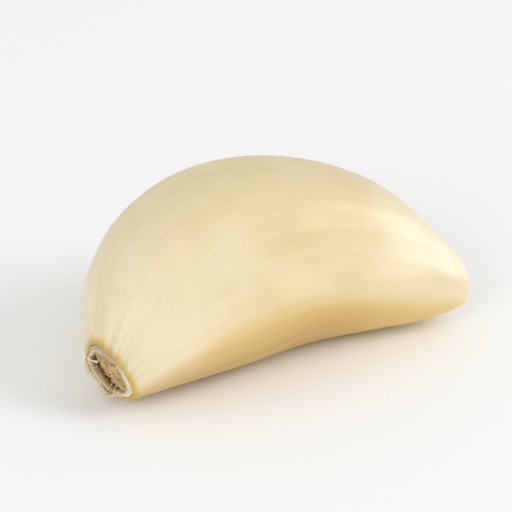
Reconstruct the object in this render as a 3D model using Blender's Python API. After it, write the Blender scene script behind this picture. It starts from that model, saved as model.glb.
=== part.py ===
"""A peeled garlic clove, lying on one flank.

The clove grew as one piece, so it is one solid: the fleshy body, the collar left where its skins were pulled
away, and the sunken cork of the root plate inside that collar.

It is shaped in its own upright frame first. There x runs from the root plate to the tip, z towards the rounded
back, and the near flank faces -y. It is then rolled onto its far flank, which gets a small flat spot, and is set
down with the middle of its base at the origin. Lengths are in metres and +Z is up.
"""

import math
from bisect import bisect_right

import bmesh
import bpy
from mathutils import Matrix, Vector

MM = 0.001

# Driving dimensions: root end to tip, inner side to back, and flank to flank at the thickest section.
LENGTH = 34.0 * MM
HEIGHT = 18.2 * MM
THICKNESS = 15.2 * MM

# The side outline, as shares of LENGTH and HEIGHT. It starts at the root plate's back corner, goes over the back
# to the tip, and comes home along the hollow inner side.
OUTLINE_TO_TIP = (
    (0.000, 0.305), (0.020, 0.440), (0.068, 0.635), (0.150, 0.808), (0.275, 0.945), (0.440, 1.000),
    (0.610, 0.960), (0.762, 0.832), (0.874, 0.648), (0.942, 0.430), (0.984, 0.290), (1.000, 0.200),
)
OUTLINE_FROM_TIP = (
    (0.981, 0.085), (0.888, 0.042), (0.755, 0.040), (0.568, 0.050), (0.385, 0.030), (0.228, 0.012), (0.060, 0.000),
)

# The flattened sides of a cross section. Each has the way it faces, in degrees from the back round by the near
# flank, and its distance from the section's middle at stations from root to tip, as a share of half the section's
# height. The flanks' distances are also scaled by THICKNESS.
BACK_SIDES = {
    0: ((0.0, 0.96), (1.0, 0.96)),
    50: ((0.0, 0.96), (0.25, 0.90), (0.6, 0.89), (0.85, 0.93), (1.0, 1.00)),
    76: ((0.0, 0.90), (0.6, 0.86), (1.0, 0.95)),
    -60: ((0.0, 0.92), (0.25, 0.90), (0.6, 0.92), (0.85, 0.95), (1.0, 1.00)),
}
FLANK_SIDES = {
    103: ((0.0, 0.93), (0.25, 0.91), (0.5, 0.885), (0.75, 0.93), (1.0, 1.10)),
    144: ((0.0, 1.95), (0.6, 1.78), (0.82, 1.12), (1.0, 1.20)),
    -122: ((0.0, 0.90), (0.25, 0.94), (0.5, 1.03), (0.75, 0.99), (1.0, 1.06)),
}
INNER_SIDES = {
    163: ((0.0, 1.04), (0.3, 1.05), (0.5, 1.00), (0.7, 0.97), (1.0, 1.02)),
    200: ((0.0, 1.02), (0.3, 0.99), (0.7, 0.99), (1.0, 1.02)),
}
MIDDLE = 0.52  # where a section's middle lies between the inner side, 0, and the back, 1
# Higher gives crisper edges between the sides.
EDGE_SHARPNESS = ((0.0, 7.0), (0.3, 12.0), (0.7, 12.5), (0.88, 20.0), (0.96, 18.0), (1.0, 9.0))

# Shallow hollows, pressed in while it grew in the bulb: place from root to tip, angle as above, spread along and
# round in the same units, and depth.
HOLLOWS = (
    (0.36, -35, 0.10, 28, 0.25 * MM),
    (0.72, -60, 0.09, 25, 0.20 * MM),
    (0.52, 183, 0.20, 20, 0.25 * MM),
)
# Creases that gather the flesh into the root plate.
CREASE_REACH = 0.13
CREASES = ((5, 0.6, 0.07 * MM), (9, 2.1, 0.035 * MM), (16, 0.8, 0.02 * MM))  # how many round it, phase and depth

# The root plate's cork: how far it is sunk at its middle and at its edge, and the edge as a share of the rim.
CORK_MIDDLE, CORK_EDGE = 0.10 * MM, 0.28 * MM
CORK_REACH = 0.77
CORK_RINGS = 10
CORK_WAVES = ((5, 1.3, 0.05 * MM), (9, 0.4, 0.05 * MM), (17, 2.0, 0.03 * MM))  # count, phase and height
CORK_TWIST = 4.0  # how far the waves wind round on the way out
# The rings of the collar round the cork: share of the rim, height above it, and how much of the waves it takes.
COLLAR = (
    (0.81, 0.00 * MM, 0.5), (0.84, 0.16 * MM, 1.0), (0.89, 0.18 * MM, 1.0),
    (0.93, 0.02 * MM, 0.4), (0.96, -0.10 * MM, 0.0), (0.99, 0.0, 0.0),
)
COLLAR_WAVES = ((3, 0.9, 0.07 * MM), (8, 2.4, 0.04 * MM), (13, 0.3, 0.02 * MM))
# The crack across the cork, turned from the line to the back and moved towards the far flank.
CRACK_DEPTH = 0.50 * MM
CRACK_WIDTH = 0.34 * MM
CRACK_TURN = math.radians(4)
CRACK_OFFSET = 1.42 * MM
CRACK_BEND = 0.14  # curve of the crack, per millimetre along it

# How the clove lies: rolled onto its far flank, with this much of the flank cut flat.
REST_ROLL = math.radians(-55)
REST_FLAT_DEPTH = 0.16 * MM

SEGMENTS = 64
BODY_RINGS = 46
TIP_CROWDING = 1.35  # above 1, the rings stand closer together near the tip
SHARP_ANGLE = math.radians(50)

FLESH_COLOUR = (0.83, 0.69, 0.42, 1.0)
FLESH_ROUGHNESS = 0.42


def through(knots, place):
    """A smooth line through (place, value) knots, read at one place."""
    places = [knot[0] for knot in knots]
    values = [knot[1] for knot in knots]
    gaps = [b - a for a, b in zip(places, places[1:])]
    slopes = [(b - a) / gap for a, b, gap in zip(values, values[1:], gaps)]
    i = min(max(bisect_right(places, place) - 1, 0), len(gaps) - 1)

    def tangent(k):
        if k == 0 or k == len(gaps):
            return slopes[min(k, len(slopes) - 1)]
        return (slopes[k - 1] * gaps[k] + slopes[k] * gaps[k - 1]) / (gaps[k - 1] + gaps[k])

    u = (place - places[i]) / gaps[i]
    start = (2 * u**3 - 3 * u**2 + 1) * values[i] + (u**3 - 2 * u**2 + u) * gaps[i] * tangent(i)
    end = (3 * u**2 - 2 * u**3) * values[i + 1] + (u**3 - u**2) * gaps[i] * tangent(i + 1)
    return start + end


def outline_knots():
    """The side outline's x and z, each against the share of the way round, and the share at the tip."""
    points = [Vector((x * LENGTH, z * HEIGHT)) for x, z in OUTLINE_TO_TIP + OUTLINE_FROM_TIP]
    travelled = [0.0]
    for a, b in zip(points, points[1:]):
        travelled.append(travelled[-1] + (b - a).length)
    shares = [d / travelled[-1] for d in travelled]
    xs = tuple((share, p.x) for share, p in zip(shares, points))
    zs = tuple((share, p.y) for share, p in zip(shares, points))
    return xs, zs, shares[len(OUTLINE_TO_TIP) - 1]


OUTLINE_X, OUTLINE_Z, TIP_SHARE = outline_knots()


def outline_point(share):
    return Vector((through(OUTLINE_X, share), 0, through(OUTLINE_Z, share)))


class Section:
    """One cross section, at a share of the way from the root's rim to the tip."""

    def __init__(self, place):
        back = outline_point(place * TIP_SHARE)
        inner = outline_point(1 - place * (1 - TIP_SHARE))
        rise = back - inner
        self.place = place
        self.half = rise.length / 2
        self.up = rise.normalized() if self.half > 1e-7 else Vector((0, 0, 1))
        self.out = Vector((-self.up.z, 0, self.up.x))
        self.middle = inner + rise * MIDDLE
        self.sharpness = through(EDGE_SHARPNESS, place)
        flank_scale = THICKNESS / HEIGHT
        self.sides = [(math.radians(a), through(k, place)) for a, k in (BACK_SIDES | INNER_SIDES).items()]
        self.sides += [(math.radians(a), through(k, place) * flank_scale) for a, k in FLANK_SIDES.items()]

    def reach(self, angle):
        """The skin's distance from the middle, in metres."""
        press = sum(max(0.0, math.cos(angle - way) / off) ** self.sharpness for way, off in self.sides)
        smooth = self.half * press ** (-1 / self.sharpness)
        return smooth - hollow_depth(self.place, angle) - crease_depth(self.place, angle)

    def point(self, angle, share=1.0, outwards=0.0):
        """A point on the section's edge, or at a share of the way out to it and moved off its plane."""
        reach = self.reach(angle) * share
        across = Vector((0, -math.sin(angle) * reach, 0))
        return self.middle + self.up * math.cos(angle) * reach + across + self.out * outwards


def waves(angle, parts):
    return sum(height * math.cos(count * angle + phase) for count, phase, height in parts)


def turned_apart(a, b):
    """The smaller angle between two directions."""
    return abs((a - b + math.pi) % (2 * math.pi) - math.pi)


def hollow_depth(place, angle):
    depth = 0.0
    for at, way, spread_along, spread_round, deep in HOLLOWS:
        along = (place - at) / spread_along
        round_it = turned_apart(angle, math.radians(way)) / math.radians(spread_round)
        depth += deep * math.exp(-(along**2) - round_it**2)
    return depth


def crease_depth(place, angle):
    return waves(angle, CREASES) * math.exp(-((place / CREASE_REACH) ** 2))


def cork_height(share, angle, reach):
    """How high the cork stands at one place of the root plate, against the rim."""
    height = -CORK_MIDDLE + (CORK_MIDDLE - CORK_EDGE) * (share / CORK_REACH) ** 2
    height += waves(angle + CORK_TWIST * share, CORK_WAVES) * share
    along = share * reach * math.cos(angle - CRACK_TURN)
    across = -share * reach * math.sin(angle - CRACK_TURN) - CRACK_OFFSET + CRACK_BEND * along**2 / MM
    return height - CRACK_DEPTH * math.exp(-((across / CRACK_WIDTH) ** 2))


def plate_point(ring, angle, rim):
    """A point of the root plate: rings of cork from its middle outwards, then those of the collar."""
    if ring < CORK_RINGS:
        share = CORK_REACH * ring / (CORK_RINGS - 1)
        return rim.point(angle, share, cork_height(share, angle, rim.reach(angle)))
    share, height, raggedness = COLLAR[ring - CORK_RINGS]
    return rim.point(angle, share, height + raggedness * waves(angle, COLLAR_WAVES))


def shape_clove(bm):
    """Turns a sphere's rings into the clove's: its lower pole is the plate's middle, and its upper pole the tip."""
    plate_rings = CORK_RINGS + len(COLLAR)
    rings = plate_rings + BODY_RINGS
    bmesh.ops.create_uvsphere(bm, u_segments=SEGMENTS, v_segments=rings, radius=1)
    sections = [Section(1 - (1 - i / BODY_RINGS) ** TIP_CROWDING) for i in range(BODY_RINGS + 1)]
    for vertex in bm.verts:
        ring = round((1 - math.acos(max(-1, min(1, vertex.co.z))) / math.pi) * rings)
        angle = math.atan2(vertex.co.y, vertex.co.x)
        if ring < plate_rings:
            vertex.co = plate_point(ring, angle, sections[0])
        else:
            vertex.co = sections[ring - plate_rings].point(angle)
    bmesh.ops.recalc_face_normals(bm, faces=bm.faces)


def lay_down(bm):
    """Rolls the clove onto its far flank, cuts the flat spot, and puts the middle of the base at the origin."""
    bmesh.ops.rotate(bm, cent=(0, 0, 0), matrix=Matrix.Rotation(REST_ROLL, 3, "X"), verts=bm.verts)
    floor = min(v.co.z for v in bm.verts) + REST_FLAT_DEPTH
    cut = bmesh.ops.bisect_plane(
        bm,
        geom=bm.verts[:] + bm.edges[:] + bm.faces[:],
        plane_co=(0, 0, floor),
        plane_no=(0, 0, -1),
        clear_outer=True,
    )
    edge = [item for item in cut["geom_cut"] if isinstance(item, bmesh.types.BMEdge)]
    bmesh.ops.edgeloop_fill(bm, edges=edge)
    bmesh.ops.recalc_face_normals(bm, faces=bm.faces)
    xs = [v.co.x for v in bm.verts]
    ys = [v.co.y for v in bm.verts]
    middle = Vector(((min(xs) + max(xs)) / 2, (min(ys) + max(ys)) / 2, floor))
    bmesh.ops.translate(bm, vec=-middle, verts=bm.verts)


def flesh_material():
    material = bpy.data.materials.new("garlic_flesh")
    material.use_nodes = True
    shader = material.node_tree.nodes["Principled BSDF"]
    shader.inputs["Base Color"].default_value = FLESH_COLOUR
    shader.inputs["Roughness"].default_value = FLESH_ROUGHNESS
    shader.inputs["Metallic"].default_value = 0.0
    return material


def make_clove():
    bm = bmesh.new()
    shape_clove(bm)
    lay_down(bm)
    mesh = bpy.data.meshes.new("clove")
    bm.to_mesh(mesh)
    bm.free()
    mesh.materials.append(flesh_material())
    mesh.shade_smooth()
    mesh.set_sharp_from_angle(angle=SHARP_ANGLE)
    clove = bpy.data.objects.new("clove", mesh)
    bpy.context.scene.collection.objects.link(clove)
    return clove


def main():
    for old in list(bpy.data.objects):
        bpy.data.objects.remove(old)
    make_clove()


main()
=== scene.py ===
import math
import random

import bmesh
import bpy
from mathutils import Matrix, Vector, noise


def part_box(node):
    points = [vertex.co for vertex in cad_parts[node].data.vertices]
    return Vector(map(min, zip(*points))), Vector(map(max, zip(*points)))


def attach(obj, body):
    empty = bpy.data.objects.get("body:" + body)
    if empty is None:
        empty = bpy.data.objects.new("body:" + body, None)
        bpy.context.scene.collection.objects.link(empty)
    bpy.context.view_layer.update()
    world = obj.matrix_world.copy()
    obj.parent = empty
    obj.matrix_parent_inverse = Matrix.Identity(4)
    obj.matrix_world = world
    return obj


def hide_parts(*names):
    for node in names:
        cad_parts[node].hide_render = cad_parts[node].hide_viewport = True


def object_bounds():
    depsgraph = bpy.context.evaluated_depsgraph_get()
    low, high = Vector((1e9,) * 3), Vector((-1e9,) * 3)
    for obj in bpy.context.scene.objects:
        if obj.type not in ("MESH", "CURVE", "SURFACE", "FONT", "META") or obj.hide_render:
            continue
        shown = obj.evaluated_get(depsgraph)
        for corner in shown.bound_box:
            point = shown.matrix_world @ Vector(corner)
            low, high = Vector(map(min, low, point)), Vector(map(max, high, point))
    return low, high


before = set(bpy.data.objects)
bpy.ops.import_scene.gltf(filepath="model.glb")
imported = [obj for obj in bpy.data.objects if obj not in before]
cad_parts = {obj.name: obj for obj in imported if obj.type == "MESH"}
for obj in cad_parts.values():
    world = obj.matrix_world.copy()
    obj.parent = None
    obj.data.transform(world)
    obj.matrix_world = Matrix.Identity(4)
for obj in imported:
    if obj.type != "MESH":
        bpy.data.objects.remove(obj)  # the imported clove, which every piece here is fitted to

cadLow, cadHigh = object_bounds()
mm = 0.001

# the clove stands upright while it is shaped: x from root to tip, z to the back, the near flank at -y
cloveShape = {
    "length": 34.0 * mm,
    "height": 18.2 * mm,
    "thickness": 15.2 * mm,
    "overBack": (  # shares of length and height, from the root plate's back corner to the tip
        (0.000, 0.305), (0.020, 0.440), (0.068, 0.635), (0.150, 0.808), (0.275, 0.945), (0.440, 1.000),
        (0.610, 0.960), (0.762, 0.832), (0.874, 0.648), (0.942, 0.430), (0.984, 0.290), (1.000, 0.200),
    ),
    "alongInner": (  # and home along the hollow inner side
        (0.981, 0.085), (0.888, 0.042), (0.755, 0.040), (0.568, 0.050), (0.385, 0.030), (0.228, 0.012),
        (0.060, 0.000),
    ),
    "sides": {  # degrees from the back round by the near flank: distance from the middle, root to tip
        0: ((0.0, 0.96), (1.0, 0.96)),
        50: ((0.0, 0.96), (0.25, 0.90), (0.6, 0.89), (0.85, 0.93), (1.0, 1.00)),
        76: ((0.0, 0.90), (0.6, 0.86), (1.0, 0.95)),
        -60: ((0.0, 0.92), (0.25, 0.90), (0.6, 0.92), (0.85, 0.95), (1.0, 1.00)),
        163: ((0.0, 1.04), (0.3, 1.05), (0.5, 1.00), (0.7, 0.97), (1.0, 1.02)),
        200: ((0.0, 1.02), (0.3, 0.99), (0.7, 0.99), (1.0, 1.02)),
    },
    "flanks": {  # as sides, but scaled with the thickness
        103: ((0.0, 0.93), (0.25, 0.91), (0.5, 0.885), (0.75, 0.93), (1.0, 1.10)),
        144: ((0.0, 1.95), (0.6, 1.78), (0.82, 1.12), (1.0, 1.20)),
        -122: ((0.0, 0.90), (0.25, 0.94), (0.5, 1.03), (0.75, 0.99), (1.0, 1.06)),
    },
    "middle": 0.52,  # share of a section's height where its centre lies
    "sharpness": (  # of the edges between the sides, root to tip
        (0.0, 7.0), (0.3, 12.0), (0.7, 12.5), (0.88, 20.0), (0.96, 18.0), (1.0, 9.0),
    ),
    "hollows": (  # place, degrees, spread along, spread round, depth
        (0.36, -35, 0.10, 28, 0.25 * mm), (0.72, -60, 0.09, 25, 0.20 * mm), (0.52, 183, 0.20, 20, 0.25 * mm),
    ),
    "creases": ((5, 0.6, 0.07 * mm), (9, 2.1, 0.035 * mm), (16, 0.8, 0.02 * mm)),  # count, phase, depth
    "creaseReach": 0.13,  # share of the length over which the creases fade
    "restRoll": math.radians(-55),
    "flatDepth": 0.16 * mm,  # what the flat spot takes off the far flank
    "boxCuts": 60,  # sections that place the clove in its box, and the degrees between their points
    "boxDegrees": 3,
}


def along(knots, place):
    # a smooth line through (place, value) knots
    i = 0
    while i < len(knots) - 2 and place > knots[i + 1][0]:
        i += 1
    gaps = [b[0] - a[0] for a, b in zip(knots, knots[1:])]
    slopes = [(b[1] - a[1]) / gap for a, b, gap in zip(knots, knots[1:], gaps)]
    tangents = [slopes[0]]
    for k in range(len(gaps) - 1):
        tangents.append((slopes[k] * gaps[k + 1] + slopes[k + 1] * gaps[k]) / (gaps[k] + gaps[k + 1]))
    tangents.append(slopes[-1])
    u = (place - knots[i][0]) / gaps[i]
    fromStart = (2 * u**3 - 3 * u**2 + 1) * knots[i][1] + (u**3 - 2 * u**2 + u) * gaps[i] * tangents[i]
    return fromStart + (3 * u**2 - 2 * u**3) * knots[i + 1][1] + (u**3 - u**2) * gaps[i] * tangents[i + 1]


def softStep(edge, value, softness):
    # 0 well before an edge, 1 well past it
    return 1 / (1 + math.exp((edge - value) / softness))


def limited(value):
    return max(0.0, min(1.0, value))


def turnedBy(angle, way):
    # how far one angle is turned from another, either way round
    return (angle - way + math.pi) % (2 * math.pi) - math.pi


def direction(angle, third=0.0):
    # an angle as a vector, which has no seam
    return Vector((math.cos(angle), math.sin(angle), third))


def turnNoise(angle, count, seed):
    return noise.noise(direction(angle) * count + Vector(seed))


def tornEdge(angle, tears):
    # how ragged dry skin is there, from tears of several sizes
    return sum(share * turnNoise(angle, count, (0, 0, seed)) for count, seed, share in tears)


def sideLine():
    # the side outline's x and z against the share of the way round, and the share at the tip
    points = [(x * cloveShape["length"], z * cloveShape["height"])
              for x, z in cloveShape["overBack"] + cloveShape["alongInner"]]
    travelled = [0.0]
    for a, b in zip(points, points[1:]):
        travelled.append(travelled[-1] + math.dist(a, b))
    shares = [d / travelled[-1] for d in travelled]
    tip = shares[len(cloveShape["overBack"]) - 1]
    return [(s, p[0]) for s, p in zip(shares, points)], [(s, p[1]) for s, p in zip(shares, points)], tip


lineX, lineZ, tipShare = sideLine()


def section(place):
    # one cross section, at a share of the way from the root's rim to the tip
    back, inner = place * tipShare, 1 - place * (1 - tipShare)
    low = Vector((along(lineX, inner), 0, along(lineZ, inner)))
    rise = Vector((along(lineX, back), 0, along(lineZ, back))) - low
    up = rise.normalized() if rise.length > 1e-7 else Vector((0, 0, 1))
    flat = cloveShape["thickness"] / cloveShape["height"]
    sides = [(math.radians(a), along(k, place)) for a, k in cloveShape["sides"].items()]
    sides += [(math.radians(a), along(k, place) * flat) for a, k in cloveShape["flanks"].items()]
    return {
        "place": place,
        "half": rise.length / 2,
        "up": up,
        "out": Vector((-up.z, 0, up.x)),
        "middle": low + rise * cloveShape["middle"],
        "sharpness": along(cloveShape["sharpness"], place),
        "sides": sides,
    }


def skinReach(cut, angle):
    power, place = cut["sharpness"], cut["place"]
    press = sum(max(0.0, math.cos(angle - way) / off) ** power for way, off in cut["sides"])
    reach = cut["half"] * press ** (-1 / power)
    for at, way, spreadAlong, spreadRound, deep in cloveShape["hollows"]:
        turn = math.degrees(turnedBy(angle, math.radians(way)))
        reach -= deep * math.exp(-(((place - at) / spreadAlong) ** 2) - (turn / spreadRound) ** 2)
    fade = math.exp(-((place / cloveShape["creaseReach"]) ** 2))
    return reach - fade * sum(deep * math.cos(n * angle + phase) for n, phase, deep in cloveShape["creases"])


def skinPoint(cut, angle, share=1.0, rise=0.0):
    # a point on a section's edge, or at a share of the way out to it and risen off its plane towards the root
    reach = skinReach(cut, angle) * share
    across = Vector((0, -math.sin(angle) * reach, 0))
    return cut["middle"] + cut["up"] * math.cos(angle) * reach + across + cut["out"] * rise


def ringAndAngle(vertex, rings):
    # which ring of a sphere of radius 1 a vertex is on, from its lower pole up, and its angle round
    ring = round((1 - math.acos(max(-1.0, min(1.0, vertex.co.z))) / math.pi) * rings)
    return ring, math.atan2(vertex.co.y, vertex.co.x)


def makePiece(name, bm, material):
    # a finished bmesh becomes a piece that belongs to the clove
    mesh = bpy.data.meshes.new(name)
    bm.to_mesh(mesh)
    bm.free()
    mesh.materials.append(material)
    mesh.shade_smooth()
    piece = bpy.data.objects.new(name, mesh)
    bpy.context.scene.collection.objects.link(piece)
    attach(piece, "root")
    return piece


def restingPlace():
    # turns the upright clove onto its far flank, where the frame's box has it
    roll = Matrix.Rotation(cloveShape["restRoll"], 4, "X")
    low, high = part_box("clove")
    corners = []
    for i in range(cloveShape["boxCuts"] + 1):
        cut = section(i / cloveShape["boxCuts"])
        corners += [roll @ skinPoint(cut, math.radians(a)) for a in range(0, 360, cloveShape["boxDegrees"])]
    tipX = max(p.x for p in corners)
    middleY = (min(p.y for p in corners) + max(p.y for p in corners)) / 2
    floor = min(p.z for p in corners) + cloveShape["flatDepth"]
    return Matrix.Translation((high.x - tipX, (low.y + high.y) / 2 - middleY, -floor)) @ roll


lieDown = restingPlace()
rim = section(0.0)
print("clove shape worked out")

# shader groups: each gives a mask, so that the materials decide the colours


def startGroup(name, numbers, grain=False):
    # numbers in, with the grain's vector where the group follows it, and one mask out
    group = bpy.data.node_groups.new(name, "ShaderNodeTree")
    if grain:
        group.interface.new_socket("Grain", in_out="INPUT", socket_type="NodeSocketVector")
    for label, value in numbers.items():
        socket = group.interface.new_socket(label, in_out="INPUT", socket_type="NodeSocketFloat")
        socket.default_value = value
    group.interface.new_socket("Mask", in_out="OUTPUT", socket_type="NodeSocketFloat")
    return group, group.nodes.new("NodeGroupInput").outputs, group.nodes.new("NodeGroupOutput").inputs


def feed(tree, socket, value):
    # a socket takes a link or a plain value
    if isinstance(value, bpy.types.NodeSocket):
        tree.links.new(value, socket)
    else:
        socket.default_value = value


def mathNode(tree, operation, a, b, clamp=False):
    node = tree.nodes.new("ShaderNodeMath")
    node.operation, node.use_clamp = operation, clamp
    feed(tree, node.inputs[0], a)
    feed(tree, node.inputs[1], b)
    return node.outputs[0]


def spread(tree, value, low, high, newLow=0.0, newHigh=1.0):
    # a value's range, smoothly stretched onto another
    node = tree.nodes.new("ShaderNodeMapRange")
    node.interpolation_type = "SMOOTHSTEP"
    feed(tree, node.inputs["Value"], value)
    for label, given in (("From Min", low), ("From Max", high), ("To Min", newLow), ("To Max", newHigh)):
        feed(tree, node.inputs[label], given)
    return node.outputs["Result"]


def mixColour(tree, mask, first, second):
    node = tree.nodes.new("ShaderNodeMix")
    node.data_type = "RGBA"
    for i, value in ((0, mask), (6, first), (7, second)):  # 6 and 7 are the colour sockets
        feed(tree, node.inputs[i], value)
    return node.outputs[2]


def tint(tree, colour, paint, mask, share=None):
    # a paint laid over a colour where a mask says so, at a share of its strength
    if share is not None:
        mask = mathNode(tree, "MULTIPLY", mask, share)
    return mixColour(tree, mask, colour, paint)


def scaledSum(tree, value, share, rest):
    return mathNode(tree, "ADD", mathNode(tree, "MULTIPLY", value, share), rest)


def noiseNode(tree, vector, scale, detail=3.0, roughness=0.5):
    node = tree.nodes.new("ShaderNodeTexNoise")
    for label, value in (("Vector", vector), ("Scale", scale), ("Detail", detail), ("Roughness", roughness)):
        feed(tree, node.inputs[label], value)
    return node.outputs["Fac"]


def makeStreaks():
    # streaks that run with the grain, finer for a higher count and longer for a lower pace
    numbers = {"Count": 20.0, "Pace": 2.0, "Low": 0.35, "High": 0.65}
    group, given, result = startGroup("grainStreaks", numbers, grain=True)
    scale = group.nodes.new("ShaderNodeCombineXYZ")
    for axis, label in enumerate(("Count", "Count", "Pace")):
        group.links.new(given[label], scale.inputs[axis])
    stretched = group.nodes.new("ShaderNodeVectorMath")
    stretched.operation = "MULTIPLY"
    group.links.new(given["Grain"], stretched.inputs[0])
    group.links.new(scale.outputs[0], stretched.inputs[1])
    waves = noiseNode(group, stretched.outputs[0], 1.0, detail=4.0, roughness=0.55)
    group.links.new(spread(group, waves, given["Low"], given["High"]), result["Mask"])
    return group


def makeMottle():
    # soft cloudy patches on object coordinates, with the size in patches to the metre
    group, given, result = startGroup("softMottle", {"Scale": 200.0, "Low": 0.35, "High": 0.65})
    place = group.nodes.new("ShaderNodeTexCoord")
    clouds = noiseNode(group, place.outputs["Object"], given["Scale"], detail=4.0)
    group.links.new(spread(group, clouds, given["Low"], given["High"]), result["Mask"])
    return group


def makeSpecks():
    # small round specks, scattered by leaving most cells of a cell pattern empty
    group, given, result = startGroup("tinySpecks", {"Scale": 700.0, "Size": 0.2, "Share": 0.2})
    place = group.nodes.new("ShaderNodeTexCoord")
    cells = group.nodes.new("ShaderNodeTexVoronoi")
    group.links.new(place.outputs["Object"], cells.inputs["Vector"])
    group.links.new(given["Scale"], cells.inputs["Scale"])
    pick = group.nodes.new("ShaderNodeSeparateColor")
    group.links.new(cells.outputs["Color"], pick.inputs[0])
    chosen = mathNode(group, "LESS_THAN", pick.outputs[0], given["Share"])
    inside = spread(group, cells.outputs["Distance"], given["Size"], 0.02)
    group.links.new(mathNode(group, "MULTIPLY", chosen, inside), result["Mask"])
    return group


streaksGroup, mottleGroup, specksGroup = makeStreaks(), makeMottle(), makeSpecks()


def useGroup(tree, group, grain=None, **values):
    node = tree.nodes.new("ShaderNodeGroup")
    node.node_tree = group
    if grain is not None:
        tree.links.new(grain, node.inputs["Grain"])
    for label, value in values.items():
        node.inputs[label].default_value = value
    return node.outputs["Mask"]


def startMaterial(name, roughness, subsurface=0.0, subsurfaceScale=1 * mm, warmth=(1.0, 0.5, 0.25)):
    material = bpy.data.materials.new(name)
    material.use_nodes = True
    shader = material.node_tree.nodes["Principled BSDF"]
    shader.inputs["Roughness"].default_value = roughness
    shader.inputs["Subsurface Weight"].default_value = subsurface
    shader.inputs["Subsurface Scale"].default_value = subsurfaceScale
    shader.inputs["Subsurface Radius"].default_value = warmth
    return material, material.node_tree, shader


def readAttribute(tree, name):
    node = tree.nodes.new("ShaderNodeAttribute")
    node.attribute_name = name
    return node.outputs["Vector"]


def readParts(tree, name):
    # an attribute's three numbers
    parts = tree.nodes.new("ShaderNodeSeparateXYZ")
    tree.links.new(readAttribute(tree, name), parts.inputs[0])
    return parts.outputs


def addBump(tree, shader, height, distance, strength):
    bump = tree.nodes.new("ShaderNodeBump")
    bump.inputs["Strength"].default_value = strength
    bump.inputs["Distance"].default_value = distance
    tree.links.new(height, bump.inputs["Height"])
    tree.links.new(bump.outputs["Normal"], shader.inputs["Normal"])


# the flesh

flesh = {
    "segments": 288,
    "bodyRings": 276,
    "tipCrowding": 1.35,
    "plate": (  # from the middle of the bed under the cork, out over the flesh's lip: share, rise
        (0.00, -0.80 * mm), (0.30, -0.82 * mm), (0.60, -0.88 * mm), (0.80, -0.95 * mm),
        (0.88, -0.85 * mm), (0.905, -0.55 * mm), (0.915, -0.30 * mm), (0.925, -0.18 * mm),
        (0.937, -0.12 * mm), (0.950, -0.09 * mm), (0.962, -0.05 * mm), (0.972, -0.01 * mm),
        (0.982, 0.01 * mm), (0.991, 0.01 * mm),
    ),
    "lipRounding": 0.028,
    "lipReach": 0.010,
    "lipRagged": 0.05 * mm,
    "raggedFrom": 0.93,  # the share of the plate beyond which its edge is ragged
    "swell": 0.15 * mm,
    "swellSize": 7.0 * mm,
    "rib": 0.17 * mm,
    "ribCount": 2.3,
    "ribPace": 0.9,
    "furrow": 0.014 * mm,
    "rootFurrow": 0.031 * mm,
    "rootReach": 0.17,
    "furrows": (  # count round, pace along, two seeds, shares of the furrow's and the root furrow's depth
        (7.5, 2.4, 3.1, 0.0, 0.55, 0.55), (21, 3.2, 0.0, 8.4, 0.35, 0.35), (48, 4.0, 5.5, 1.2, 0.15, 0.35),
    ),
    "dents": 16,
    "dentPlace": (0.10, 0.92),  # shares of the length
    "dentSize": (0.5 * mm, 1.6 * mm),
    "dentWidth": (0.25, 0.6),  # against the size
    "dentDepth": (0.03 * mm, 0.08 * mm),
    "dentSlant": 0.6,
    "dentRadius": 8 * mm,  # of the clove, for the dents' place round it
    "ivory": (0.728, 0.598, 0.326, 1),
    "paleIvory": (0.872, 0.778, 0.560, 1),
    "deepIvory": (0.720, 0.558, 0.278, 1),
    "tipWhite": (0.940, 0.882, 0.715, 1),
    "ochre": (0.725, 0.470, 0.132, 1),
    "gold": (0.895, 0.650, 0.225, 1),
    # painted shade, on the lower part of the inner side
    "shadeOchre": (0.540, 0.305, 0.045, 1),
    "rimOchre": (0.700, 0.385, 0.050, 1),
    "rimBrown": (0.360, 0.200, 0.075, 1),
    "ridge": ((0.0, 158), (0.3, 146), (0.6, 152), (0.8, 161), (1.0, 172)),  # degrees round to the inner side
    "farRidge": 218.0,
    "underShadeLine": 160.0,  # degrees round, where the painted shade on the inner side deepens
    "highlightWedge": (0.69, 0.87),  # shares of the length, where the painted highlight wedge by the tip starts and is full
    "highlightWedgeGrowth": 1.3,
    "highlightWedgeTop": 70.0,
    "highlightWedgeEdge": ((0.0, 120), (0.7, 120), (0.85, 127), (1.0, 135)),  # degrees round to its clear lower side
    "softness": {"ridge": 2.8, "farRidge": 8.0, "underShadeLine": 7.0, "highlightWedgeTop": 11.0, "highlightWedgeEdge": 2.2},
    "rootStreaks": (0.42, 0.0),  # shares of the length, where a zone starts to show and is full
    # painted highlights: shares of the length where the paler root end and the paler tip start and are full
    "rootHighlight": (0.52, 0.06),
    "tipHighlight": (0.60, 0.90),
    "goldZone": (0.52, 0.80),
    "tipPlain": (0.98, 0.80),
    "tipStain": (0.975, 1.0),
    "yellowing": (0.085, 0.0),
    "veinStrength": (0.12, 0.50, 0.23, 0.09),  # the same two shares, then the strength at each
    "innerStrength": (0.03, 0.30, 0.68, 0.90),
    # the painted shade under the inner side's line: the same two shares, then the strength at each
    "underShadeStrength": (0.40, 0.82, 0.98, 0.40),
}


def pickDents():
    # small soft dents and nicks from peeling: place, angle, half length, half width, depth, slant
    random.seed(11)
    dents = []
    for _ in range(flesh["dents"]):
        length = random.uniform(*flesh["dentSize"])
        place, way = random.uniform(*flesh["dentPlace"]), random.uniform(-math.pi, math.pi)
        width = length * random.uniform(*flesh["dentWidth"])
        depth = random.uniform(*flesh["dentDepth"])
        slant = random.uniform(-flesh["dentSlant"], flesh["dentSlant"])
        dents.append((place, way, length, width, depth, slant))
    return dents


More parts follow.
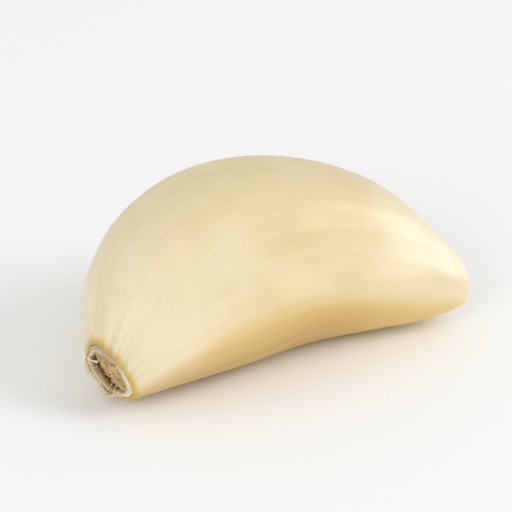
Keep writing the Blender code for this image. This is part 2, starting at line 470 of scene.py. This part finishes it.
def fleshRelief(point, place, angle, dents):
    # how far the fine surface stands off the plain clove
    furrow = flesh["furrow"] * (1 - place) ** 0.5
    rootFurrow = flesh["rootFurrow"] * math.exp(-((place / flesh["rootReach"]) ** 2))
    relief = flesh["swell"] * noise.noise(point / flesh["swellSize"] + Vector((1.7, 4.2, 9.1)))
    ribs = turnNoise(angle, flesh["ribCount"], (6.0, 2.5, place * flesh["ribPace"]))
    relief += flesh["rib"] * ribs * math.sin(math.pi * place) ** 2
    for count, pace, seedX, seedY, share, rootShare in flesh["furrows"]:
        waves = turnNoise(angle, count, (seedX, seedY, place * pace))
        relief += (furrow * share + rootFurrow * rootShare) * waves
    for at, way, length, width, depth, slant in dents:
        alongIt = (place - at) * cloveShape["length"]
        roundIt = turnedBy(angle, way) * flesh["dentRadius"]
        a = (alongIt + slant * roundIt) / length
        b = (roundIt - slant * alongIt) / width
        if a * a + b * b < 6:  # a dent has faded out beyond this
            relief -= depth * math.exp(-a * a - b * b)
    return relief


def inwardShare(angle, place):
    # how far the skin faces the inner side: 0 on the flanks, 1 between the ridges
    turn = math.degrees(angle) % 360
    nearSide = softStep(along(flesh["ridge"], place), turn, flesh["softness"]["ridge"])
    return nearSide * softStep(turn, flesh["farRidge"], flesh["softness"]["farRidge"])


def highlightWedgeShare(angle, place):
    # how strongly the near flank by the tip is paled as a painted highlight, with a clear lower edge and a soft
    # upper one
    start, full = flesh["highlightWedge"]
    turn = math.degrees(angle)
    grown = limited((place - start) / (full - start)) ** flesh["highlightWedgeGrowth"]
    above = softStep(flesh["highlightWedgeTop"], turn, flesh["softness"]["highlightWedgeTop"])
    return grown * above * softStep(turn, along(flesh["highlightWedgeEdge"], place), flesh["softness"]["highlightWedgeEdge"])


def makeFlesh(material):
    plateRings, bodyRings = len(flesh["plate"]), flesh["bodyRings"]
    rings = plateRings + bodyRings
    bm = bmesh.new()
    bmesh.ops.create_uvsphere(bm, u_segments=flesh["segments"], v_segments=rings, radius=1)
    grain = bm.verts.layers.float_vector.new("grain")
    zones = bm.verts.layers.float_vector.new("zones")
    paintedLight = bm.verts.layers.float_vector.new("paintedLight")
    cuts = [section(1 - (1 - i / bodyRings) ** flesh["tipCrowding"]) for i in range(bodyRings + 1)]
    places = {}
    for v in bm.verts:
        ring, angle = ringAndAngle(v, rings)
        if ring < plateRings:
            place, (share, rise) = 0.0, flesh["plate"][ring]
            ragged = flesh["lipRagged"] * turnNoise(angle, 6, (0, 0, 2.0)) * (share > flesh["raggedFrom"])
            v.co = skinPoint(rim, angle, share * (1 - flesh["lipRounding"]), rise + ragged)
        else:
            cut = cuts[ring - plateRings]
            place, share = cut["place"], 1.0
            lip = flesh["lipRounding"] * math.exp(-((place / flesh["lipReach"]) ** 2))
            v.co = skinPoint(cut, angle, 1 - lip)
        places[v.index] = (place, angle)
        inward = inwardShare(angle, place)
        # painted shade below the inner side's line, and the painted highlight by the tip
        underShade = softStep(flesh["underShadeLine"], math.degrees(angle) % 360, flesh["softness"]["underShadeLine"])
        v[grain] = direction(angle, place)
        v[zones] = Vector((inward, place, 1 - share))
        v[paintedLight] = Vector((highlightWedgeShare(angle, place), underShade * inward, 0))
    bmesh.ops.recalc_face_normals(bm, faces=bm.faces)
    bm.normal_update()
    dents = pickDents()
    shifts = []
    for v in bm.verts:
        place, angle = places[v.index]
        shifts.append(v.normal * fleshRelief(v.co, place, angle, dents) if v[zones].z == 0 else Vector())
    for v, shift in zip(bm.verts, shifts):
        v.co += shift
    bmesh.ops.transform(bm, matrix=lieDown, verts=bm.verts)
    # the flat spot it rests on, cut level and closed
    flat = bmesh.ops.bisect_plane(
        bm,
        geom=bm.verts[:] + bm.edges[:] + bm.faces[:],
        plane_co=(0, 0, 0),
        plane_no=(0, 0, -1),
        clear_outer=True,
    )
    bmesh.ops.edgeloop_fill(bm, edges=[e for e in flat["geom_cut"] if isinstance(e, bmesh.types.BMEdge)])
    bmesh.ops.triangulate(bm, faces=[f for f in bm.faces if len(f.verts) > 4])
    return makePiece("cloveFlesh", bm, material)


def fleshMaterial():
    material, tree, shader = startMaterial(
        "ivoryFlesh", roughness=0.42, subsurface=0.35, subsurfaceScale=2.2 * mm, warmth=(1.0, 0.62, 0.30),
    )
    shader.inputs["Coat Roughness"].default_value = 0.28
    shader.inputs["Specular IOR Level"].default_value = 0.42
    grain = readAttribute(tree, "grain")
    inner, place, depth = readParts(tree, "zones")
    highlightWedge, underShade, _ = readParts(tree, "paintedLight")
    broad = useGroup(tree, streaksGroup, grain, Count=9.0, Pace=2.2, Low=0.36, High=0.66)
    fine = useGroup(tree, streaksGroup, grain, Count=34.0, Pace=3.5, Low=0.42, High=0.68)
    clouds = useGroup(tree, mottleGroup, Scale=170.0, Low=0.38, High=0.66)
    blush = useGroup(tree, mottleGroup, Scale=95.0, Low=0.46, High=0.72)
    # ivory with soft clouds and streaks, paled at both ends as a painted highlight by the root and the tip
    rootHighlight, tipHighlight = spread(tree, place, *flesh["rootHighlight"]), spread(tree, place, *flesh["tipHighlight"])
    endHighlights = mathNode(tree, "MAXIMUM", rootHighlight, tipHighlight)
    paleShare = scaledSum(tree, clouds, 0.28, mathNode(tree, "MULTIPLY", endHighlights, 0.72))
    colour = mixColour(tree, paleShare, flesh["ivory"], flesh["paleIvory"])
    colour = tint(tree, colour, flesh["deepIvory"], blush, 0.30)
    nearRoot = spread(tree, place, *flesh["rootStreaks"])
    colour = tint(tree, colour, flesh["paleIvory"], broad, scaledSum(tree, nearRoot, 0.22, 0.11))
    colour = tint(tree, colour, flesh["ochre"], fine, scaledSum(tree, nearRoot, 0.07, 0.05))
    # a painted highlight: the near flank by the tip paled towards white
    colour = tint(tree, colour, flesh["tipWhite"], highlightWedge, 0.75)
    # short thin veins, pale ones and a few darker
    paleVeins = useGroup(tree, streaksGroup, grain, Count=40.0, Pace=9.0, Low=0.52, High=0.70)
    darkVeins = useGroup(tree, streaksGroup, grain, Count=30.0, Pace=6.0, Low=0.54, High=0.74)
    colour = tint(tree, colour, flesh["tipWhite"], paleVeins, spread(tree, place, *flesh["veinStrength"]))
    colour = tint(tree, colour, flesh["ochre"], darkVeins, 0.07)
    # the inner side is ochre, golden towards the tip, partly its own tone and partly painted shade where it
    # faces down, and deeper under its own line as painted shade
    innerShare = spread(tree, place, *flesh["innerStrength"])
    innerShare = mathNode(tree, "MULTIPLY", innerShare, spread(tree, place, *flesh["tipPlain"]))
    innerShare = mathNode(tree, "MULTIPLY", innerShare, spread(tree, fine, 0.0, 1.0, 0.85, 1.0))
    innerColour = mixColour(tree, spread(tree, place, *flesh["goldZone"]), flesh["ochre"], flesh["gold"])
    underShadeShare = spread(tree, place, *flesh["underShadeStrength"])
    innerColour = tint(tree, innerColour, flesh["shadeOchre"], underShade, underShadeShare)
    colour = tint(tree, colour, innerColour, inner, innerShare)
    colour = tint(tree, colour, flesh["ochre"], spread(tree, place, *flesh["tipStain"]), 0.45)
    # the flesh yellows towards the plate, and ends there in a golden line with soft teeth
    yellowing = mathNode(tree, "MULTIPLY", fine, spread(tree, place, *flesh["yellowing"]))
    colour = tint(tree, colour, flesh["ochre"], yellowing, 0.45)
    teeth = useGroup(tree, streaksGroup, grain, Count=7.0, Pace=0.0, Low=0.34, High=0.70)
    stain = spread(tree, place, scaledSum(tree, teeth, 0.013, 0.014), 0.0)
    colour = tint(tree, colour, flesh["rimOchre"], stain, 0.92)
    colour = tint(tree, colour, flesh["rimBrown"], spread(tree, depth, 0.045, 0.085))
    tree.links.new(colour, shader.inputs["Base Color"])
    tree.links.new(spread(tree, broad, 0.0, 1.0, 0.46, 0.38), shader.inputs["Roughness"])
    tree.links.new(spread(tree, clouds, 0.0, 1.0, 0.16, 0.30), shader.inputs["Coat Weight"])
    coordinates = tree.nodes.new("ShaderNodeTexCoord")
    pores = noiseNode(tree, coordinates.outputs["Object"], 2600.0, roughness=0.6)
    height = scaledSum(tree, fine, 0.7, mathNode(tree, "MULTIPLY", pores, 0.5))
    addBump(tree, shader, height, 0.02 * mm, 0.45)
    return material


fleshPiece = makeFlesh(fleshMaterial())
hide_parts("clove")
print("flesh done:", len(fleshPiece.data.polygons), "faces")

# the cork of the root plate

cork = {
    "segments": 180,
    "topRings": 84,
    "bedRings": 8,
    "reach": 0.885,
    "middle": -0.08 * mm,
    "edge": -0.24 * mm,
    "thickness": 0.75 * mm,
    "crackDepth": 0.60 * mm,
    "crackWidth": 0.28 * mm,
    "crackWander": 0.24 * mm,
    "crackTear": 0.10 * mm,
    "wanderSize": 0.6 * mm,  # of the crack's bends, and of the tears along them
    "tearSize": 0.2 * mm,
    "crackUneven": (1.10, 1.0, 2.1),  # its width: mean, change, changes to the millimetre
    "crackFlare": 0.45,  # how much broader the crack gets towards the back
    "flareLength": 1.6 * mm,
    "crackLength": 2.2 * mm,
    "seamLength": 2.0 * mm,
    "crackTurn": math.radians(4),
    "crackOffset": 1.42 * mm,
    "crackBend": 140.0,  # curve of the crack, per metre
    "seams": (  # thin seams: offset from the middle, curve, width, depth against the crack's
        (1.52 * mm, 110.0, 0.07 * mm, 0.60),
        (-0.62 * mm, 90.0, 0.06 * mm, 0.42),
        (0.25 * mm, 60.0, 0.05 * mm, 0.30),
    ),
    "crumbSize": 0.36 * mm,
    "crumbStretch": 0.4,
    "crumbDepth": 0.10 * mm,
    "farShade": 0.30,  # how much browner the cork is beyond the crack
    "farSoftness": 0.08 * mm,
    "fibres": 13,
    "fibrePace": 0.9,
    "fibreDepth": 0.07 * mm,
    "pits": 7,
    "pitPlace": (0.15, 0.75),  # shares of the way out to the rim
    "pitSize": (0.10 * mm, 0.22 * mm),
    "pitDepth": (0.12 * mm, 0.30 * mm),
    "tan": (0.450, 0.295, 0.115, 1),
    "paleTan": (0.620, 0.455, 0.225, 1),
    "brown": (0.250, 0.140, 0.048, 1),
    "darkBrown": (0.080, 0.040, 0.013, 1),
}


def pickPits():
    # share of the way out, angle, size, depth
    random.seed(5)
    pits = []
    for _ in range(cork["pits"]):
        share, way = random.uniform(*cork["pitPlace"]), random.uniform(-math.pi, math.pi)
        pits.append((share, way, random.uniform(*cork["pitSize"]), random.uniform(*cork["pitDepth"])))
    return pits


def corkRise(share, angle, pits):
    # the cork's height against the rim there, how deep in a crack or pit it is, and how pale its crumbs are
    reach = skinReach(rim, angle) * share
    out = share / cork["reach"]
    flatPlace = direction(angle) * reach
    rise = cork["middle"] + (cork["edge"] - cork["middle"]) * out**2
    stretched = Vector((flatPlace.x * cork["crumbStretch"], flatPlace.y, 0.003)) / cork["crumbSize"]
    crumbs = 0.5 + 0.5 * noise.fractal(stretched, 0.8, 2.1, 4)
    rise += cork["crumbDepth"] * (crumbs - 0.5)
    spokes = turnNoise(angle, cork["fibres"], (0, 0, reach / mm * cork["fibrePace"]))
    rise += cork["fibreDepth"] * spokes * out**2
    bends = noise.fractal(flatPlace / cork["wanderSize"] + Vector((9.0, 1.0, 3.0)), 0.7, 2.3, 4)
    tears = noise.fractal(flatPlace / cork["tearSize"] + Vector((2.0, 7.0, 5.0)), 0.8, 2.2, 3)
    wander = cork["crackWander"] * bends + cork["crackTear"] * tears
    # the broad crack, then the seams beside it and the pits
    turn = angle - cork["crackTurn"]
    alongIt = reach * math.cos(turn)
    across = -reach * math.sin(turn) - cork["crackOffset"] + cork["crackBend"] * alongIt**2
    mean, change, pace = cork["crackUneven"]
    width = cork["crackWidth"] * (mean + change * noise.noise(Vector((alongIt / mm * pace, 4.0, 2.0))))
    width *= 1 + cork["crackFlare"] * max(-0.6, min(1.0, alongIt / cork["flareLength"]))
    gap = math.exp(-(((across + wander) / width) ** 2)) * math.exp(-((alongIt / cork["crackLength"]) ** 6))
    for offset, bend, thin, deep in cork["seams"]:
        side = reach * math.sin(angle) - offset + bend * alongIt**2
        seam = deep * math.exp(-(((side + wander) / thin) ** 2))
        gap = max(gap, seam * math.exp(-((alongIt / cork["seamLength"]) ** 4)))
    for pitShare, way, size, depth in pits:
        middle = direction(way) * skinReach(rim, way) * pitShare
        gap = max(gap, depth / cork["crackDepth"] * math.exp(-(((flatPlace - middle).length / size) ** 2)))
    crumbs -= cork["farShade"] * softStep(0, across + wander, cork["farSoftness"])
    return rise - cork["crackDepth"] * gap, gap, crumbs


def makeCork(material):
    rings = cork["bedRings"] + cork["topRings"]
    pits = pickPits()
    bm = bmesh.new()
    bmesh.ops.create_uvsphere(bm, u_segments=cork["segments"], v_segments=rings, radius=1)
    looks = bm.verts.layers.float_vector.new("looks")
    grain = bm.verts.layers.float_vector.new("grain")
    for v in bm.verts:
        ring, angle = ringAndAngle(v, rings)
        if ring < cork["bedRings"]:
            share = cork["reach"] * ring / cork["bedRings"]
            rise, gap, crumbs = cork["edge"] - cork["thickness"], 1.0, 0.5
        else:
            share = cork["reach"] * (rings - ring) / cork["topRings"]
            rise, gap, crumbs = corkRise(share, angle, pits)
        v.co = skinPoint(rim, angle, share, rise)
        v[looks] = Vector((gap, crumbs, share / cork["reach"]))
        v[grain] = direction(angle, share)
    bmesh.ops.recalc_face_normals(bm, faces=bm.faces)
    bmesh.ops.transform(bm, matrix=lieDown, verts=bm.verts)
    return makePiece("rootCork", bm, material)


def corkMaterial():
    material, tree, shader = startMaterial("rootCork", roughness=0.82, subsurface=0.05, subsurfaceScale=0.6 * mm)
    grain = readAttribute(tree, "grain")
    gap, crumbs, out = readParts(tree, "looks")
    clouds = useGroup(tree, mottleGroup, Scale=1500.0, Low=0.35, High=0.68)
    fibres = useGroup(tree, streaksGroup, grain, Count=16.0, Pace=3.0, Low=0.42, High=0.66)
    specks = useGroup(tree, specksGroup, Scale=5200.0, Size=0.35, Share=0.25)
    colour = mixColour(tree, clouds, cork["tan"], cork["paleTan"])
    colour = tint(tree, colour, cork["paleTan"], fibres, mathNode(tree, "MULTIPLY", out, 0.7))
    colour = tint(tree, colour, cork["brown"], spread(tree, crumbs, 0.42, 0.15))
    colour = tint(tree, colour, cork["brown"], specks, 0.45)
    colour = tint(tree, colour, cork["brown"], spread(tree, out, 0.90, 1.0), 0.7)
    # brown down the cracks' sides, and dark inside them as painted shade, with some pale fibres across
    colour = tint(tree, colour, cork["brown"], spread(tree, gap, 0.04, 0.35))
    deep = spread(tree, gap, 0.12, 0.55)
    crackShade = mathNode(tree, "SUBTRACT", deep, mathNode(tree, "MULTIPLY", fibres, 0.22), clamp=True)
    colour = tint(tree, colour, cork["darkBrown"], crackShade)
    tree.links.new(colour, shader.inputs["Base Color"])
    tree.links.new(spread(tree, clouds, 0.0, 1.0, 0.88, 0.74), shader.inputs["Roughness"])
    coordinates = tree.nodes.new("ShaderNodeTexCoord")
    rough = noiseNode(tree, coordinates.outputs["Object"], 9000.0, detail=4.0, roughness=0.6)
    addBump(tree, shader, rough, 0.04 * mm, 0.8)
    return material


corkPiece = makeCork(corkMaterial())
print("cork done:", len(corkPiece.data.polygons), "faces")

# the torn collar of skin round the cork

collar = {
    "segments": 360,
    "profile": (  # across the collar, up its outside and down its inside: share, part of its height
        (0.905, -0.9), (0.915, 0.0), (0.917, 0.35), (0.912, 0.70), (0.903, 0.93), (0.893, 1.0),
        (0.884, 0.93), (0.876, 0.70), (0.870, 0.30), (0.864, -0.2), (0.855, -0.9),
    ),
    "height": 0.15 * mm,
    "raggedness": 0.08 * mm,
    "tears": ((5, 3, 1.0), (17, 0, 0.7), (45, 0, 0.4)),  # count round, seed, share of the raggedness
    "widths": (  # degrees round: how broad the collar is there, against its profile
        (-180, 4.2), (-150, 1.8), (-100, 0.8), (-40, 1.8), (5, 4.2), (28, 5.0), (55, 4.2), (90, 3.2),
        (125, 3.4), (155, 4.6), (180, 4.2),
    ),
    "farDrop": 0.12 * mm,  # how much lower it is on the far side
    "wander": 0.022,
    "wanderCount": 3.5,
    "foot": -0.30 * mm,
    "outside": 0.89,  # the share of the profile beyond which it faces outwards
    "greyTurns": (math.radians(-60), math.radians(105)),  # between these its outside is grey
    "greySoftness": 0.2,
    "cream": (0.920, 0.840, 0.655, 1),
    "grey": (0.430, 0.335, 0.190, 1),
    "straw": (0.660, 0.480, 0.240, 1),
    "foxingAndShade": (0.360, 0.215, 0.090, 1),
}


def makeCollar(material):
    bm = bmesh.new()
    bmesh.ops.create_circle(bm, segments=collar["segments"], radius=1)
    looks = bm.verts.layers.float_vector.new("looks")
    grain = bm.verts.layers.float_vector.new("grain")
    first = bm.edges[:]
    loop = first
    rows = [bm.verts[:]]
    for _ in collar["profile"][1:]:
        made = bmesh.ops.extrude_edge_only(bm, edges=loop)["geom"]
        loop = [item for item in made if isinstance(item, bmesh.types.BMEdge) and item.is_boundary]
        rows.append([item for item in made if isinstance(item, bmesh.types.BMVert)])
    bmesh.ops.bridge_loops(bm, edges=first + loop)
    crest = collar["profile"][2][0]  # where the collar stands straight up, so it keeps its place at any width
    low, high = collar["greyTurns"]
    soft = collar["greySoftness"]
    for (share, part), row in zip(collar["profile"], rows):
        for v in row:
            angle = math.atan2(v.co.y, v.co.x)
            top = collar["height"] + collar["raggedness"] * tornEdge(angle, collar["tears"])
            top -= collar["farDrop"] * max(0.0, -math.sin(angle))
            wavy = turnNoise(angle, collar["wanderCount"], (0, 0, 8 + part))
            lean = collar["wander"] * wavy * max(0.0, part)
            broad = crest + (share - crest) * along(collar["widths"], math.degrees(angle))
            grey = softStep(low, angle, soft) * softStep(angle, high, soft)
            v[looks] = Vector((part, grey * (share > collar["outside"]), 0))
            v[grain] = direction(angle, share)
            v.co = skinPoint(rim, angle, broad + lean, collar["foot"] + (top - collar["foot"]) * part)
    bmesh.ops.recalc_face_normals(bm, faces=bm.faces)
    bmesh.ops.transform(bm, matrix=lieDown, verts=bm.verts)
    return makePiece("skinCollar", bm, material)


def collarMaterial():
    # also on the scraps and the strands, whose looks say how cream and grey they are, and how much painted shade
    # darkens the scraps' foot
    material, tree, shader = startMaterial("drySkin", roughness=0.62, subsurface=0.15, subsurfaceScale=0.5 * mm)
    grain = readAttribute(tree, "grain")
    creamy, grey, footShade = readParts(tree, "looks")
    ribs = useGroup(tree, streaksGroup, grain, Count=24.0, Pace=4.0, Low=0.40, High=0.66)
    foxing = useGroup(tree, mottleGroup, Scale=900.0, Low=0.56, High=0.74)
    colour = mixColour(tree, spread(tree, creamy, 0.95, 0.1), collar["cream"], collar["straw"])
    colour = tint(tree, colour, collar["straw"], ribs, 0.35)
    colour = tint(tree, colour, collar["grey"], grey, 0.75)
    colour = tint(tree, colour, collar["foxingAndShade"], foxing, 0.5)
    # painted shade at the foot of the scraps, in the foxed brown
    colour = tint(tree, colour, collar["foxingAndShade"], footShade)
    tree.links.new(colour, shader.inputs["Base Color"])
    tree.links.new(spread(tree, ribs, 0.0, 1.0, 0.66, 0.55), shader.inputs["Roughness"])
    addBump(tree, shader, ribs, 0.04 * mm, 0.7)
    return material


collarPiece = makeCollar(collarMaterial())
print("collar done:", len(collarPiece.data.polygons), "faces")

# scraps of skin that stand out beyond the collar on the far side

scraps = {
    "alongSteps": 150,
    "upSteps": 12,
    "heights": (  # degrees round: how far the scraps stand out, in mm
        (-150, 0.00), (-140, 0.10), (-128, 0.22), (-117, 0.58), (-106, 0.66), (-95, 0.50), (-84, 0.24),
        (-72, 0.20), (-62, 0.30), (-54, 0.42), (-46, 0.34), (-36, 0.10), (-28, 0.00),
    ),
    "share": 0.965,
    "lean": 0.05,
    "leanCount": 6,
    "ripple": 0.012,
    "rippleCount": 20,
    "foot": -0.35 * mm,
    "thickness": 0.07 * mm,
    "raggedness": 0.10 * mm,
    "tears": ((14, 6, 1.0), (40, 0, 0.6)),  # count round, seed, share of the raggedness
    "tornHeight": 0.3 * mm,  # lower scraps are less torn, lean less and have less painted shade at their foot
    "fullHeight": 0.5 * mm,
    "shadedFoot": (0.68, 0.38),  # shares of the height, where the painted shade at the foot starts and is full
}


def makeScraps(material):
    bm = bmesh.new()
    bmesh.ops.create_grid(bm, x_segments=scraps["alongSteps"], y_segments=scraps["upSteps"], size=0.5)
    looks = bm.verts.layers.float_vector.new("looks")
    grain = bm.verts.layers.float_vector.new("grain")
    first, last = scraps["heights"][0][0], scraps["heights"][-1][0]
    start, full = scraps["shadedFoot"]
    for v in bm.verts:
        degrees, part = first + (last - first) * (v.co.x + 0.5), v.co.y + 0.5
        angle = math.radians(degrees)
        top = along(scraps["heights"], degrees) * mm
        top += scraps["raggedness"] * tornEdge(angle, scraps["tears"]) * min(1.0, top / scraps["tornHeight"])
        grown = min(1.0, top / scraps["fullHeight"])
        curl = scraps["lean"] * part**2 * (1 + turnNoise(angle, scraps["leanCount"], (0, 0, 2))) * grown
        ripple = scraps["ripple"] * turnNoise(angle, scraps["rippleCount"], (0, 0, part))
        rise = scraps["foot"] + (top - scraps["foot"]) * part
        v.co = skinPoint(rim, angle, scraps["share"] + curl + ripple, rise)
        # the third number is the painted shade at the scraps' foot
        v[looks] = Vector((0.5 + 0.5 * part, 0, limited((start - part) / (start - full)) * grown))
        v[grain] = direction(angle, part)
    bmesh.ops.recalc_face_normals(bm, faces=bm.faces)
    bmesh.ops.solidify(bm, geom=bm.faces[:], thickness=scraps["thickness"])
    bmesh.ops.recalc_face_normals(bm, faces=bm.faces)
    bmesh.ops.transform(bm, matrix=lieDown, verts=bm.verts)
    return makePiece("skinScraps", bm, material)


scrapsPiece = makeScraps(collarPiece.data.materials[0])
print("skin scraps done:", len(scrapsPiece.data.polygons), "faces")

# pale strands that still hold the cork to the collar

strands = {
    "count": 11,
    "bridges": (  # strands on the crack's side: degrees round, reach inwards, thickness
        (-26, 0.30, 0.17 * mm), (-47, 0.19, 0.04 * mm), (-112, 0.24, 0.045 * mm), (-137, 0.27, 0.05 * mm),
    ),
    "sides": 7,
    "steps": 9,
    "between": (40, 200),  # degrees round, for the strands that aren't on the crack's side
    "jitter": 0.4,
    "thickness": (0.035 * mm, 0.065 * mm),
    "waist": 0.45,  # how thin a strand is in its middle, against its ends
    "reach": (0.12, 0.26),
    "crest": 0.026,  # how far inwards the collar's crest lies, for each unit of the collar's width
    "arch": 0.15 * mm,
    "hold": 0.85,  # how high up the collar the strands are held
    "spreadRound": math.radians(14),
    "creamy": 0.95,
}


def makeStrands(material):
    random.seed(23)
    bm = bmesh.new()
    looks = bm.verts.layers.float_vector.new("looks")
    grain = bm.verts.layers.float_vector.new("grain")
    plan = [(math.radians(degrees), reach, thick) for degrees, reach, thick in strands["bridges"]]
    first, last = strands["between"]
    for i in range(strands["count"]):
        step = i + random.uniform(-strands["jitter"], strands["jitter"])
        angle = math.radians(first + (last - first) * step / strands["count"])
        plan.append((angle, random.uniform(*strands["reach"]), random.uniform(*strands["thickness"])))
    for angle, reach, thick in plan:
        drift = random.uniform(-1, 1) * strands["spreadRound"]
        made = bmesh.ops.create_cone(
            bm, cap_ends=True, segments=strands["sides"], radius1=1, radius2=1, depth=1,
        )["verts"]
        lengthwise = [e for e in bm.edges if e.verts[0] in made and e.verts[0].co.z != e.verts[1].co.z]
        bmesh.ops.subdivide_edges(bm, edges=lengthwise, cuts=strands["steps"])
        strand = [v for v in bm.verts if v[looks].x == 0]  # the earlier ones have their looks by now
        turn = math.degrees(angle + drift + math.pi) % 360 - 180
        outer = collar["profile"][2][0] - strands["crest"] * along(collar["widths"], turn)
        held = collar["height"] * strands["hold"]
        for v in strand:
            part = v.co.z + 0.5
            here = angle + drift * part
            share = outer - reach * (1 - part)
            taper = thick * (strands["waist"] + (1 - strands["waist"]) * abs(2 * part - 1) ** 1.5)
            rise = cork["edge"] * (1 - part) + held * part + strands["arch"] * math.sin(math.pi * part)
            ahead, behind = (skinPoint(rim, here + step, share) for step in (0.01, -0.01))
            sideways = (ahead - behind).normalized() * v.co.x
            v.co = skinPoint(rim, here, share, rise) + (sideways + rim["out"] * v.co.y) * taper
            v[looks] = Vector((strands["creamy"], 0, 0))
            v[grain] = direction(here, part)
    bmesh.ops.recalc_face_normals(bm, faces=bm.faces)
    bmesh.ops.transform(bm, matrix=lieDown, verts=bm.verts)
    return makePiece("rootStrands", bm, material)


strandsPiece = makeStrands(collarPiece.data.materials[0])
print("strands done:", len(strandsPiece.data.polygons), "faces")

# floor, lights and camera

studio = {
    "floorSize": 4.0,
    "floorColour": (0.96, 0.96, 0.955, 1),
    "keyPower": 1.00,
    "keySize": 0.30,
    "keyWay": (0.92, 0.46, 0.40),  # right, up and towards the camera
    "fillPower": 0.60,
    "fillSize": 0.35,
    "fillWay": (-0.45, 0.06, 0.88),
    "lightDistance": 0.55,
    "skyStrength": 0.71,
    "azimuth": math.radians(-26),
    "elevation": math.radians(30),
    "distance": 0.45,
    "widthShare": 0.80,  # of the picture, that the clove takes
    "sensor": 36.0,
}


def makeFloor():
    mesh = bpy.data.meshes.new("floor")
    bm = bmesh.new()
    bmesh.ops.create_grid(bm, x_segments=1, y_segments=1, size=studio["floorSize"] / 2)
    bm.to_mesh(mesh)
    bm.free()
    floor = bpy.data.objects.new("floor", mesh)
    bpy.context.scene.collection.objects.link(floor)
    material, _, shader = startMaterial("paleFloor", roughness=0.7)
    shader.inputs["Base Color"].default_value = studio["floorColour"]
    mesh.materials.append(material)


def cameraAxes():
    a, e = studio["azimuth"], studio["elevation"]
    back = Vector((math.sin(a) * math.cos(e), -math.cos(a) * math.cos(e), math.sin(e)))
    right = Vector((math.cos(a), math.sin(a), 0))
    return right, back.cross(right), back


def makeLight(name, way, power, size, target):
    right, up, back = cameraAxes()
    towards = (right * way[0] + up * way[1] + back * way[2]).normalized()
    light = bpy.data.lights.new(name, "AREA")
    light.shape, light.energy, light.size = "DISK", power, size
    lamp = bpy.data.objects.new(name, light)
    bpy.context.scene.collection.objects.link(lamp)
    lamp.location = target + towards * studio["lightDistance"]
    lamp.rotation_euler = towards.to_track_quat("Z", "Y").to_euler()


def makeWorld():
    world = bpy.data.worlds.new("softRoom")
    world.use_nodes = True
    sky = world.node_tree.nodes["Background"]
    sky.inputs["Color"].default_value = (1.0, 1.0, 1.0, 1)
    sky.inputs["Strength"].default_value = studio["skyStrength"]
    bpy.context.scene.world = world


def makeCamera(target):
    back = cameraAxes()[2]
    camera = bpy.data.objects.new("camera", bpy.data.cameras.new("camera"))
    bpy.context.scene.collection.objects.link(camera)
    camera.location = target + back * studio["distance"]
    camera.rotation_euler = back.to_track_quat("Z", "Y").to_euler()
    camera.data.sensor_width = studio["sensor"]
    camera.data.lens = studio["sensor"] * studio["distance"] * studio["widthShare"] / cloveShape["length"]
    camera.data.clip_start = 0.01
    bpy.context.scene.camera = camera


makeFloor()
makeWorld()
cloveMiddle = (cadLow + cadHigh) / 2
makeLight("key", studio["keyWay"], studio["keyPower"], studio["keySize"], cloveMiddle)
makeLight("fill", studio["fillWay"], studio["fillPower"], studio["fillSize"], cloveMiddle)
makeCamera(cloveMiddle)
bpy.context.scene.view_settings.view_transform = "Standard"
print("studio done")
